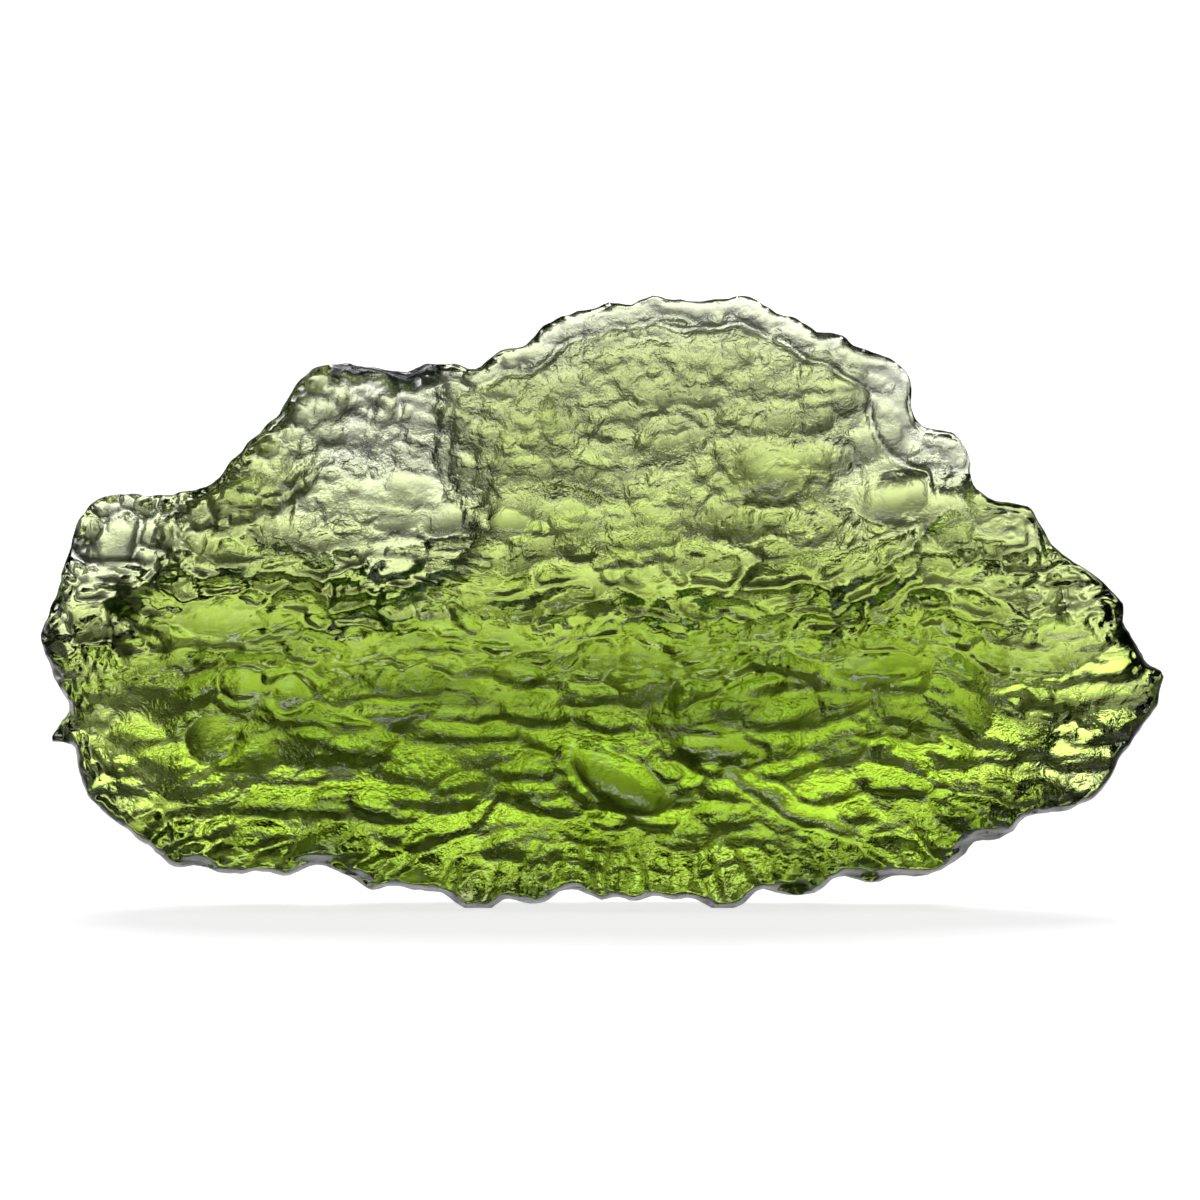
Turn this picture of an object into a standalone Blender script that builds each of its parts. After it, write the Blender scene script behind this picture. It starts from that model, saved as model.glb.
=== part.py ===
"""A moldavite: one piece of green natural glass, standing on the flat spots of its lower edge.

The stone is a thin sculpted plate. Its outline follows the rim seen from the front, its thickness
grows from the crown down to a heavy lower belly, and both faces carry flow-aligned flakes, round
lumps and fluted edges. It is made as a block with two relief faces, cut to the outline.
The front face looks along -Y, X is the width and Z the height. Sizes are in millimetres, or in the
units of a name's ending, and are turned to metres as the points are placed.
"""

import math

import bmesh
import bpy
import numpy as np
from mathutils import Vector, noise

MM = 0.001
STONE_WIDTH = 52.5
STONE_HEIGHT = 28.5
BLOCK_MARGIN = 1.2
FACE_STEP_X = 1.0
FACE_STEP_Z = 0.6
RIM_STEP = 0.5
RIM_CRINKLE = 0.14
RIM_CRINKLE_PITCH = 0.53
CRINKLE_FROM_Z, CRINKLE_FULL_Z = 0.2, 0.8
CUTTER_REACH = 12.0
WELD_GAP_M = 1e-6
X_SHIFT = 0.15

# The rim, clockwise from the spur's root on the left, as (x, z) landmarks.
SPUR_AND_LEFT_SIDE = [
    (-24.6, 7.7), (-25.3, 7.62), (-26.05, 7.75), (-25.3, 8.6), (-25.0, 9.5), (-25.55, 10.1),
    (-26.0, 11.3), (-26.4, 12.45), (-25.9, 13.9), (-25.4, 15.2), (-25.0, 16.8), (-24.4, 18.3),
]
LEFT_LOBE_TOP = [
    (-23.7, 19.05), (-22.5, 19.35), (-21.3, 19.15), (-19.6, 19.4), (-18.4, 19.65), (-17.7, 20.4),
    (-16.6, 21.65), (-15.0, 23.25), (-14.3, 24.5),
]
SHOULDER = [
    (-13.0, 25.3), (-11.4, 25.25), (-9.4, 24.9), (-8.4, 25.3), (-7.6, 25.15), (-7.0, 25.35),
    (-6.2, 25.05),
]
CROWN = [
    (-5.3, 25.6), (-4.5, 26.05), (-3.9, 26.0), (-3.3, 26.6), (-3.0, 27.0), (-1.2, 27.75),
    (-0.5, 27.8), (0.2, 28.2), (0.9, 28.05), (1.8, 28.4), (2.6, 28.45), (4.1, 28.2),
    (6.5, 28.5), (7.0, 28.4), (7.7, 27.85), (9.3, 27.25), (9.9, 26.7), (10.7, 26.85),
    (12.0, 25.95), (13.2, 25.7), (14.2, 24.8), (14.4, 24.1),
]
RIGHT_STEPS = [
    (14.2, 23.4), (14.9, 22.3), (16.2, 22.1), (17.0, 21.0), (17.2, 19.8), (18.0, 19.0),
    (19.6, 18.65), (19.9, 18.7), (20.6, 17.3), (21.8, 16.1), (22.7, 15.6), (24.3, 14.0),
    (24.15, 13.3), (24.9, 12.1), (25.35, 11.25), (26.1, 11.0),
]
RIGHT_UNDERSIDE = [
    (25.9, 9.8), (25.1, 8.4), (24.0, 6.9), (23.6, 5.9), (22.7, 4.95), (21.0, 4.4), (19.5, 4.3),
    (19.3, 3.75), (18.2, 3.05), (17.4, 3.05), (16.3, 2.1), (15.0, 1.45),
]
LOWER_EDGE = [
    (13.9, 1.5), (12.4, 1.1), (11.0, 1.5), (10.2, 0.85), (9.2, 0.5), (7.9, 0.65), (7.3, 0.95),
    (6.7, 0.4), (6.2, 0.0), (4.9, 0.0), (4.1, 0.5), (3.2, 0.3), (2.3, 0.55), (1.3, 0.2),
    (0.7, 0.6), (-0.1, 0.3), (-1.4, 0.85), (-2.1, 0.75), (-2.7, 0.25), (-3.6, 0.12),
    (-4.6, 0.5), (-5.2, 0.0), (-6.6, 0.0), (-7.5, 0.6), (-9.2, 0.85), (-10.2, 0.95),
    (-10.9, 0.8), (-12.2, 1.55), (-13.5, 1.95), (-14.8, 1.42), (-15.9, 1.7), (-17.6, 1.5),
    (-19.0, 1.9), (-20.2, 1.75), (-20.7, 2.4), (-21.5, 2.85), (-23.0, 4.0), (-24.3, 5.35),
    (-24.75, 7.1),
]
RIM = SPUR_AND_LEFT_SIDE + LEFT_LOBE_TOP + SHOULDER + CROWN + RIGHT_STEPS + RIGHT_UNDERSIDE + LOWER_EDGE

# Thickness up the middle of the stone, as (z, thickness).
# It grows from the thin crown down to the belly, and thins again towards both ends.
WEDGE = [
    (0.0, 6.2), (2.0, 7.2), (4.0, 7.5), (8.0, 7.6), (11.0, 7.0),
    (13.0, 5.6), (15.5, 4.2), (18.0, 3.6), (23.0, 2.9), (29.0, 2.4),
]
END_TAPER_FROM = 13.0
END_TAPER_SHARE = 0.52
THINNEST = 1.3

# Places where the plate is thinner, as (x, z, half width, half height, depth taken off).
THIN_PLACES = [
    (-10.2, 18.2, 5.0, 4.4, 2.5),
    (-11.0, 22.8, 4.2, 3.0, 1.3),
    (-23.2, 17.0, 3.0, 2.8, 1.6),
    (-25.0, 13.6, 2.2, 2.4, 0.9),
    (13.8, 19.1, 3.6, 2.4, 1.8),
    (13.6, 22.6, 2.8, 2.2, 1.4),
    (22.4, 6.4, 3.0, 2.6, 1.1),
]
THIN_PLACE_FALL = 1.2

# Lumps that stand out of the front face, as (x, z, half length, half height, tilt in degrees, rise).
FRONT_LUMPS = [
    (0.8, 6.0, 3.1, 1.5, -34.0, 1.40),
    (-2.8, 6.0, 1.3, 1.9, 10.0, 0.75),
    (-16.9, 10.4, 1.35, 1.25, 0.0, 0.90),
    (-14.6, 10.1, 1.3, 1.15, 0.0, 0.80),
    (-17.7, 7.6, 2.4, 2.2, 0.0, 0.60),
    (7.6, 20.3, 2.3, 1.5, 14.0, 0.70),
    (-4.8, 17.9, 1.7, 1.1, 0.0, 0.60),
    (13.9, 19.0, 3.0, 1.8, -6.0, 0.90),
    (13.2, 22.3, 1.6, 1.9, 0.0, 0.50),
    (12.3, 24.5, 1.5, 0.8, 8.0, 0.45),
    (-9.8, 17.9, 4.6, 2.9, 4.0, 0.75),
    (12.8, 11.3, 2.8, 1.0, 4.0, 0.60),
    (5.3, 7.6, 2.7, 0.9, -4.0, 0.70),
    (8.6, 5.0, 4.6, 0.8, -30.0, 0.60),
    (-9.6, 9.3, 3.2, 0.8, 2.0, 0.60),
    (18.8, 17.7, 1.7, 0.8, 8.0, 0.45),
    (-23.7, 17.3, 1.5, 1.3, 0.0, 0.50),
    (-21.4, 17.6, 0.9, 1.0, 0.0, 0.50),
    (-24.2, 14.7, 1.3, 0.8, 15.0, 0.50),
    (-23.9, 13.2, 1.6, 0.8, 20.0, 0.50),
]

# Lumps of the back face, which the front view doesn't show.
BACK_LUMPS = [
    (-19.0, 13.0, 3.2, 1.6, 12.0, 0.75),
    (-8.0, 6.5, 3.6, 1.6, 6.0, 0.90),
    (4.0, 10.5, 4.2, 1.5, -8.0, 0.80),
    (15.5, 7.5, 3.0, 1.5, 10.0, 0.75),
    (17.0, 14.5, 2.6, 1.2, -10.0, 0.60),
    (-3.0, 22.0, 2.2, 1.4, 20.0, 0.45),
]

# The pale flange along the crown: a thin band, then a ledge up to the body.
FLANGE_FROM, FLANGE_TO = -3.6, 14.6
FLANGE_END_FADE = 1.0
FLANGE_LOW_Z, FLANGE_FULL_Z = 23.0, 24.5
FLANGE_WIDTH = 1.25
FLANGE_THICKNESS = 1.0
LEDGE_RUN = 0.55

RIM_ROUNDING = 1.1
RIM_THICKNESS = 0.95
LOWER_RIM_THICKNESS = 1.7
FOOT_THICKNESS = 5.4
FOOT_PLACES = [(-5.75, 1.9), (5.7, 1.9)]
FOOT_FULL_Z, FOOT_FADE_Z = 0.4, 3.0

# The plate isn't flat: its middle wanders back and forth by up to this much, but not at the feet.
WARP = 2.2
WARP_LENGTH = 12.0
WARP_FROM_Z, WARP_FULL_Z = 0.5, 6.0

# Flakes lie along flow lines that fan out from the middle of the stone towards both ends.
FLOW_CENTRE_Z = 12.0
FLOW_FAN = 0.0006
FLOW_SWAY_LENGTH, FLOW_SWAY_HEIGHT = 9.0, 4.0
LOWER_FLAKE = (4.3, 1.45)
MIDDLE_FLAKE = (2.9, 1.05)
LOWER_FLAKE_RISE = 1.1
MIDDLE_FLAKE_RISE = 0.7
BACK_FLAKE_RISE = 0.65
LOWER_FLAKES_TO_Z, MIDDLE_FLAKES_FROM_Z = 9.0, 14.0
CALM_CROWN_FROM_Z, CALM_CROWN_TO_Z = 19.0, 23.0
CALM_CROWN_SHARE = 0.6
GROOVE_STEEPNESS = 2.0
OVERLAP_STEEPNESS = 1.4
OVERLAP_SHARE = 0.25
LUMP_CLEARS_FLAKES = 0.7
LUMP_EDGE_WIDTH = 0.5
RELIEF_FULL_INSIDE = 1.2

# Upright flutes along the lower margin.
FLUTE_PITCH = 1.9
FLUTE_LEAN = 0.12
FLUTE_SWAYS = [(0.8, 0.9, 0.0), (1.3, 0.37, 1.0)]
FLUTE_RISE = 0.32
FLUTE_FULL_Z, FLUTE_TOP_Z = 1.0, 3.6
BACK_FLUTE_SHIFT = 0.9

RIM_SEED, WARP_SEED = 13.2, 4.0
LOWER_SEED, MIDDLE_SEED, BACK_SEED = 3.0, 11.0, 29.0

GLASS_GREEN = (0.23, 0.38, 0.05, 1.0)
GLASS_ROUGHNESS = 0.12
GLASS_IOR = 1.49
GLASS_SEE_THROUGH = 0.85


def clear_scene():
    for obj in list(bpy.data.objects):
        bpy.data.objects.remove(obj, do_unlink=True)


def new_collection(name):
    collection = bpy.data.collections.new(name)
    bpy.context.scene.collection.children.link(collection)
    return collection


def smooth_step(low, high, value):
    share = np.clip((value - low) / (high - low), 0.0, 1.0)
    return share * share * (3.0 - 2.0 * share)


def smooth_loop(landmarks, step):
    """Points every step or so along a closed Catmull-Rom curve through the landmarks."""
    count = len(landmarks)
    points = []
    for i in range(count):
        before, start, end, after = (Vector(landmarks[(i + k) % count]) for k in (-1, 0, 1, 2))
        pieces = max(1, round((end - start).length / step))
        for k in range(pieces):
            t = k / pieces
            bend = (end - before) * t
            bend += (2 * before - 5 * start + 4 * end - after) * t * t
            bend += (3 * start - before - 3 * end + after) * t**3
            points.append(start + bend * 0.5)
    return points


def rim_points():
    """The rim as the cutter follows it: the smooth loop, crinkled, with its two feet left flat."""
    loop = smooth_loop(RIM, RIM_STEP)
    crinkled = []
    for i, point in enumerate(loop):
        along = loop[(i + 1) % len(loop)] - loop[i - 1]
        outward = Vector((-along.y, along.x)).normalized()
        wobble = noise.noise(Vector((point.x, RIM_SEED, point.y)) / RIM_CRINKLE_PITCH)
        above_feet = float(smooth_step(CRINKLE_FROM_Z, CRINKLE_FULL_Z, point.y))
        moved = point + outward * wobble * RIM_CRINKLE * above_feet
        crinkled.append((moved.x + X_SHIFT, max(moved.y, 0.0)))
    return crinkled


def distance_inside(x, z, loop):
    """How far each point lies inside the rim, negative outside it."""
    start = np.array(loop)
    end = np.roll(start, -1, axis=0)
    along = end - start
    nearest = np.full(x.shape, np.inf)
    crossings = np.zeros(x.shape, int)
    for (sx, sz), (ax, az), (_, ez) in zip(start, along, end):
        share = np.clip(((x - sx) * ax + (z - sz) * az) / (ax * ax + az * az), 0.0, 1.0)
        nearest = np.minimum(nearest, np.hypot(x - sx - share * ax, z - sz - share * az))
        spans = (sz > z) != (ez > z)
        if az:
            crossings += spans & (x < sx + (z - sz) * ax / az)
    return np.where(crossings % 2 == 1, nearest, -nearest)


def dome(x, z, place):
    """A lump's height, from 0 at its edge to 1 on top, with a steep side and a flat crown."""
    centre_x, centre_z, half_length, half_height, tilt = place
    angle = math.radians(tilt)
    along = (x - centre_x) * math.cos(angle) + (z - centre_z) * math.sin(angle)
    across = (z - centre_z) * math.cos(angle) - (x - centre_x) * math.sin(angle)
    reach = (along / half_length) ** 2 + (across / half_height) ** 2
    return np.sqrt(np.clip(1.0 - reach, 0.0, 1.0))


def flow(x, z):
    """The height at the stone's middle of the flow line through each point."""
    return FLOW_CENTRE_Z + (z - FLOW_CENTRE_Z) / (1.0 + FLOW_FAN * x * x)


def flakes(x, z, size, seed):
    """Overlapping flakes along the flow, from 0 in the grooves to 1, each highest near its lower edge."""
    length, height = size
    level = flow(x, z)
    out = np.zeros(x.shape)
    for i in np.ndindex(x.shape):
        sway = noise.noise(Vector((x[i] / FLOW_SWAY_LENGTH, seed, level[i] / FLOW_SWAY_HEIGHT)))
        spot = Vector((x[i] / length + seed, (level[i] + sway) / height, seed))
        distances, cores = noise.voronoi(spot)
        body = min(1.0, GROOVE_STEEPNESS * (distances[1] - distances[0]))
        below_core = min(1.0, max(-1.0, OVERLAP_STEEPNESS * (cores[0].y - spot.y)))
        out[i] = body * (1.0 - OVERLAP_SHARE * (1.0 - below_core))
    return out


def flutes(x, z):
    """Upright ribs along the lower margin, fading upwards."""
    phase = (x + FLUTE_LEAN * z * np.sign(x)) * 2.0 * math.pi / FLUTE_PITCH
    for size, rate, start in FLUTE_SWAYS:
        phase = phase + size * np.sin(x * rate + start)
    return np.sin(phase) * (1.0 - smooth_step(FLUTE_FULL_Z, FLUTE_TOP_Z, z))


def body_thickness(x, z):
    heights, widths = zip(*WEDGE)
    thickness = np.interp(z, heights, widths)
    ends = smooth_step(END_TAPER_FROM, STONE_WIDTH / 2.0, np.abs(x))
    thickness = thickness * (1.0 - END_TAPER_SHARE * ends)
    for centre_x, centre_z, half_width, half_height, depth in THIN_PLACES:
        reach = ((x - centre_x) / half_width) ** 2 + ((z - centre_z) / half_height) ** 2
        thickness = thickness - depth * np.exp(-THIN_PLACE_FALL * reach * reach)
    return np.maximum(thickness, THINNEST)


def thickness_at(x, z, inside):
    """The plate's thickness: round at the rim, thick over the feet, and a thin flange on the crown."""
    body = body_thickness(x, z)
    low = 1.0 - smooth_step(FOOT_FULL_Z, FOOT_FADE_Z, z)
    rim = RIM_THICKNESS + (LOWER_RIM_THICKNESS - RIM_THICKNESS) * low
    for centre_x, half_width in FOOT_PLACES:
        foot = low * np.exp(-(((x - centre_x) / half_width) ** 2))
        rim = np.maximum(rim, rim + (FOOT_THICKNESS - rim) * foot)
    share = np.clip(inside / RIM_ROUNDING, 0.0, 1.0)
    rounded = rim + (body - rim) * np.sqrt(1.0 - (1.0 - share) ** 2)
    on_crown = smooth_step(FLANGE_LOW_Z, FLANGE_FULL_Z, z)
    on_crown = on_crown * smooth_step(FLANGE_FROM - FLANGE_END_FADE, FLANGE_FROM + FLANGE_END_FADE, x)
    on_crown = on_crown * (1.0 - smooth_step(FLANGE_TO - FLANGE_END_FADE, FLANGE_TO, x))
    ledge = smooth_step(FLANGE_WIDTH, FLANGE_WIDTH + LEDGE_RUN, inside)
    flanged = FLANGE_THICKNESS + (body - FLANGE_THICKNESS) * ledge
    return rounded + (flanged - rounded) * on_crown


def warp(x, z):
    """How far back the plate's middle lies; nothing at the feet, so that the stone stands evenly."""
    out = np.zeros(x.shape)
    for i in np.ndindex(x.shape):
        out[i] = noise.noise(Vector((x[i] / WARP_LENGTH, WARP_SEED, z[i] / WARP_LENGTH)))
    return WARP * out * smooth_step(WARP_FROM_Z, WARP_FULL_Z, z)


def front_relief(x, z, inside):
    middle = smooth_step(LOWER_FLAKES_TO_Z, MIDDLE_FLAKES_FROM_Z, z)
    relief = LOWER_FLAKE_RISE * (1.0 - middle) * flakes(x, z, LOWER_FLAKE, LOWER_SEED)
    middle = middle * (1.0 - CALM_CROWN_SHARE * smooth_step(CALM_CROWN_FROM_Z, CALM_CROWN_TO_Z, z))
    relief += MIDDLE_FLAKE_RISE * middle * flakes(x, z, MIDDLE_FLAKE, MIDDLE_SEED)
    relief += FLUTE_RISE * flutes(x, z)
    lumps = np.zeros(x.shape)
    for *place, rise in FRONT_LUMPS:
        height = dome(x, z, place)
        relief = relief * (1.0 - LUMP_CLEARS_FLAKES * smooth_step(0.0, LUMP_EDGE_WIDTH, height))
        lumps = np.maximum(lumps, rise * height)
    return (relief + lumps) * smooth_step(0.0, RELIEF_FULL_INSIDE, inside)


def back_relief(x, z, inside):
    relief = BACK_FLAKE_RISE * flakes(x, z, MIDDLE_FLAKE, BACK_SEED)
    relief += FLUTE_RISE * flutes(x + BACK_FLUTE_SHIFT, z)
    for *place, rise in BACK_LUMPS:
        relief = relief + rise * dome(x, z, place)
    return relief * smooth_step(0.0, RELIEF_FULL_INSIDE, inside)


def relief_block(loop):
    """A block whose front and back are the stone's faces, as a mesh wider than the stone all round."""
    columns = round((STONE_WIDTH + 2 * BLOCK_MARGIN) / FACE_STEP_X)
    rows = round((STONE_HEIGHT + 2 * BLOCK_MARGIN) / FACE_STEP_Z)
    net = bmesh.new()
    bmesh.ops.create_grid(net, x_segments=columns, y_segments=rows, size=0.5)
    for point in net.verts:
        across = point.co.x * (STONE_WIDTH + 2 * BLOCK_MARGIN)
        up = STONE_HEIGHT / 2 + point.co.y * (STONE_HEIGHT + 2 * BLOCK_MARGIN)
        point.co = (across, 0.0, up)
    front = list(net.verts)
    grown = bmesh.ops.extrude_face_region(net, geom=list(net.faces), use_keep_orig=True)
    back = [item for item in grown["geom"] if isinstance(item, bmesh.types.BMVert)]
    for face, side, relief in ((front, -1.0, front_relief), (back, 1.0, back_relief)):
        x = np.array([point.co.x for point in face])
        z = np.array([point.co.z for point in face])
        inside = distance_inside(x, z, loop)
        half = thickness_at(x, z, inside) / 2.0 + relief(x, z, inside)
        for point, depth in zip(face, warp(x, z) + side * half):
            point.co.y = depth
    bmesh.ops.recalc_face_normals(net, faces=list(net.faces))
    mesh = bpy.data.meshes.new("moldavite")
    net.to_mesh(mesh)
    net.free()
    return mesh


def centre_depth(mesh):
    """Moves the block so that its front and back lie evenly about Y zero."""
    depths = [point.co.y for point in mesh.vertices]
    middle = (min(depths) + max(depths)) / 2.0
    for point in mesh.vertices:
        point.co = (point.co.x * MM, (point.co.y - middle) * MM, point.co.z * MM)


def outline_cutter(loop, collection):
    """The rim's outline as a solid that runs right through the block."""
    outline = bpy.data.curves.new("rim_outline", "CURVE")
    outline.dimensions = "2D"
    outline.fill_mode = "BOTH"
    outline.extrude = CUTTER_REACH * MM
    spline = outline.splines.new("POLY")
    spline.points.add(len(loop) - 1)
    for point, (x, z) in zip(spline.points, loop):
        point.co = (x * MM, z * MM, 0.0, 1.0)
    spline.use_cyclic_u = True
    curve = bpy.data.objects.new("rim_outline_curve", outline)
    curve.rotation_euler = (math.pi / 2.0, 0.0, 0.0)
    collection.objects.link(curve)
    bpy.context.view_layer.update()
    evaluated = curve.evaluated_get(bpy.context.evaluated_depsgraph_get())
    mesh = bpy.data.meshes.new_from_object(evaluated)
    welded = bmesh.new()
    welded.from_mesh(mesh)
    bmesh.ops.remove_doubles(welded, verts=list(welded.verts), dist=WELD_GAP_M)
    bmesh.ops.recalc_face_normals(welded, faces=list(welded.faces))
    welded.to_mesh(mesh)
    welded.free()
    cutter = bpy.data.objects.new("rim_outline", mesh)
    cutter.matrix_world = curve.matrix_world.copy()
    cutter.hide_render = True
    cutter.display_type = "WIRE"
    collection.objects.link(cutter)
    bpy.data.objects.remove(curve, do_unlink=True)
    return cutter


def glass_material():
    material = bpy.data.materials.new("moldavite_glass")
    material.use_nodes = True
    shader = material.node_tree.nodes["Principled BSDF"]
    shader.inputs["Base Color"].default_value = GLASS_GREEN
    shader.inputs["Roughness"].default_value = GLASS_ROUGHNESS
    shader.inputs["Metallic"].default_value = 0.0
    shader.inputs["IOR"].default_value = GLASS_IOR
    shader.inputs["Transmission Weight"].default_value = GLASS_SEE_THROUGH
    return material


def make_stone():
    loop = rim_points()
    stones = new_collection("moldavite")
    cutters = new_collection("cutters")
    mesh = relief_block(loop)
    centre_depth(mesh)
    mesh.materials.append(glass_material())
    stone = bpy.data.objects.new("moldavite", mesh)
    stones.objects.link(stone)
    cut = stone.modifiers.new("cut to the rim", "BOOLEAN")
    cut.operation = "INTERSECT"
    cut.solver = "EXACT"
    cut.object = outline_cutter(loop, cutters)
    return stone


clear_scene()
make_stone()
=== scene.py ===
# %% [markdown]
# # A moldavite, finished as see-through glass
# A moldavite is a piece of green natural glass. It was thrown out molten, froze in flight, and was
# then etched for millions of years in damp ground, which carved its skin into flakes, pits and lumps.
# The solid model holds the stone's outline and its main forms in facets of about a millimetre. This
# lesson makes the real skin over the same form, turns it into glass, and lights it from behind.

import math
import random

import bpy
import numpy as np
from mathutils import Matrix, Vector, kdtree, noise


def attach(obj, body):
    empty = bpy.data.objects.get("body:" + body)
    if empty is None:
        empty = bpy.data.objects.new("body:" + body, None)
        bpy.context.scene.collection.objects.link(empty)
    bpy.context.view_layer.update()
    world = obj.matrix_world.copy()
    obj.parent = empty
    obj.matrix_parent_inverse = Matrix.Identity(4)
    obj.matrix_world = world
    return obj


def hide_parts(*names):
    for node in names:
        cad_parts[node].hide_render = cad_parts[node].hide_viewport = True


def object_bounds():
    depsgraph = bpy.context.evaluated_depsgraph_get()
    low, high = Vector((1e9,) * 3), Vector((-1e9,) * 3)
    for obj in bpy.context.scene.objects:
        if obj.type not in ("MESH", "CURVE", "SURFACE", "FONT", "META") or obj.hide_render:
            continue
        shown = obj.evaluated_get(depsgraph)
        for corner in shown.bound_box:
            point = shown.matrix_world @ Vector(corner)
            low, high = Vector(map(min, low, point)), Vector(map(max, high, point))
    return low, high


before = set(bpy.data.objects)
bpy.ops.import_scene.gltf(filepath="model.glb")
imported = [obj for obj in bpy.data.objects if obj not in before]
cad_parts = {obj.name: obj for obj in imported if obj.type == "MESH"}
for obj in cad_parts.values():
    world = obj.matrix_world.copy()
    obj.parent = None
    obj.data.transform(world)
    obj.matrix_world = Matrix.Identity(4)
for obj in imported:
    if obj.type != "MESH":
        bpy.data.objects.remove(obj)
solid_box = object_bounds()
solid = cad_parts["moldavite"]
MM = 0.001
print("the solid's box in mm:", [[round(v / MM, 2) for v in corner] for corner in solid_box])

# %% [markdown]
# ## The blank
# The skin needs a fine, even net of faces that still has the solid's outline. A copy of the solid is
# welded, because its facets are loose, and a voxel remesh lays an even net over it. The net is then
# smoothed along Y alone, and less near the rim: that melts the facets of both faces, and leaves the
# outline and the rim's edge as they are.

# %% Copy, weld and remesh
VOXEL = 0.32
MELT_TURNS = 24
WELD_GAP = 0.001


def work_on(piece):
    bpy.ops.object.select_all(action="DESELECT")
    piece.select_set(True)
    bpy.context.view_layer.objects.active = piece


def apply_modifier(piece, kind, **settings):
    work_on(piece)
    modifier = piece.modifiers.new(kind.lower(), kind)
    for name, value in settings.items():
        setattr(modifier, name, value)
    bpy.ops.object.modifier_apply(modifier=modifier.name)


stone = bpy.data.objects.new("moldavite_stone", solid.data.copy())
bpy.context.scene.collection.objects.link(stone)
work_on(stone)
bpy.ops.object.mode_set(mode="EDIT")
bpy.ops.mesh.select_all(action="SELECT")
bpy.ops.mesh.remove_doubles(threshold=WELD_GAP * MM)
bpy.ops.object.mode_set(mode="OBJECT")
apply_modifier(stone, "REMESH", mode="VOXEL", voxel_size=VOXEL * MM)
print("the remeshed blank has", len(stone.data.polygons), "faces")


# %% Find the rim, then melt the facets
def read(mesh, what, layer="vertices", width=3):
    values = np.empty(len(getattr(mesh, layer)) * width)
    getattr(mesh, layer).foreach_get(what, values)
    return values.reshape(-1, width) if width > 1 else values


WALL_TURN = 0.3
MELT_AT_RIM = 0.15
MELT_FULL_INSIDE = 1.5

points = read(stone.data, "co") / MM
facing = read(stone.data, "normal")
wall = points[np.abs(facing[:, 1]) < WALL_TURN]
rim_tree = kdtree.KDTree(len(wall))
for i, (x, _, z) in enumerate(wall):
    rim_tree.insert((x, 0.0, z), i)
rim_tree.balance()
melting = stone.vertex_groups.new(name="melting")
for i, (x, _, z) in enumerate(points):
    gap = rim_tree.find((x, 0.0, z))[2]
    melting.add([i], min(1.0, MELT_AT_RIM + gap / MELT_FULL_INSIDE), "REPLACE")
settings = {"factor": 0.5, "iterations": MELT_TURNS, "use_x": False, "use_z": False}
apply_modifier(stone, "SMOOTH", vertex_group="melting", **settings)

# %% [markdown]
# The solid's rim is rounder than the real one. On the stone the flakes run on almost to the edge and
# then break off, so near the rim both faces are moved apart until the rounding is narrow. On the left
# and, half as much, on the right the rim stays blunt: the light is bent away there, which makes the
# stone's dark rims. Just above its lower edge the stone is made a little thinner.

# %% Square the rim
SQUARE_FROM = 1.8
RIM_RADIUS = 0.45
BLUNT_RIM_RADIUS = 1.5
RIM_SHARE = 0.3
BLUNT_RIM_SHARE = 0.12
MOST_STRETCH = 2.2
MARGIN_THINNING = 0.6
THIN_TO_HEIGHT = 2.5
COLUMN = 0.5

columns = np.arange(-27.0, 27.0, COLUMN)
lower_edge = [wall[np.abs(wall[:, 0] - x) < COLUMN, 2].min(initial=30.0) for x in columns]

points = read(stone.data, "co") / MM
facing = read(stone.data, "normal")
trees = []
for side in (facing[:, 1] < -WALL_TURN, facing[:, 1] > WALL_TURN):
    tree = kdtree.KDTree(int(side.sum()))
    for number, (x, y, z) in enumerate(points[side]):
        tree.insert((x, 0.0, z), number)
    tree.balance()
    trees.append((tree, points[side][:, 1]))


def faces_at(x, z):
    """Depth of the front face and of the back face at a place."""
    return [depths[tree.find((x, 0.0, z))[1]] for tree, depths in trees]


def smooth_step(low, high, value):
    share = np.clip((value - low) / (high - low), 0.0, 1.0)
    return share * share * (3.0 - 2.0 * share)


def rim_bluntness(x, z):
    """The rim is blunt on the left and up to the shoulder, half blunt on the right, else sharp."""
    left = smooth_step(-6.0, -9.0, x) * smooth_step(8.0, 11.0, z)
    right = 0.5 * smooth_step(15.0, 17.0, x) * smooth_step(8.5, 10.5, z) * (1.0 - smooth_step(17.5, 19.0, z))
    return float(max(left, right))


for i, (x, y, z) in enumerate(points):
    rim_point, _, gap = rim_tree.find((x, 0.0, z))
    height = z - np.interp(x, columns, lower_edge)
    if gap > SQUARE_FROM and height > THIN_TO_HEIGHT:
        continue
    near, far = faces_at(x, z)
    thickness = max(far - near, 0.5)
    wanted = thickness
    if gap < SQUARE_FROM:
        inwards = Vector((x, 0.0, z)) - rim_point
        if gap < 0.1:
            inwards = -Vector((facing[i, 0], 0.0, facing[i, 2]))
        deeper = rim_point + inwards.normalized() * SQUARE_FROM
        full = faces_at(deeper.x, deeper.z)
        blunt = rim_bluntness(x, z)
        edge = min(1.0, gap / (RIM_RADIUS + (BLUNT_RIM_RADIUS - RIM_RADIUS) * blunt))
        least = RIM_SHARE + (BLUNT_RIM_SHARE - RIM_SHARE) * blunt
        share = least + (1.0 - least) * math.sqrt(1.0 - (1.0 - edge) ** 2)
        wanted = max(thickness * (1.0 - blunt), (full[1] - full[0]) * share)
    wanted -= MARGIN_THINNING * min(1.0, max(0.0, 1.0 - height / THIN_TO_HEIGHT))
    middle = (near + far) / 2.0
    points[i, 1] = middle + (y - middle) * min(wanted / thickness, MOST_STRETCH)
stone.data.vertices.foreach_set("co", (points * MM).ravel())
apply_modifier(stone, "SMOOTH", factor=0.5, iterations=2, use_x=False, use_z=False)

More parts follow.
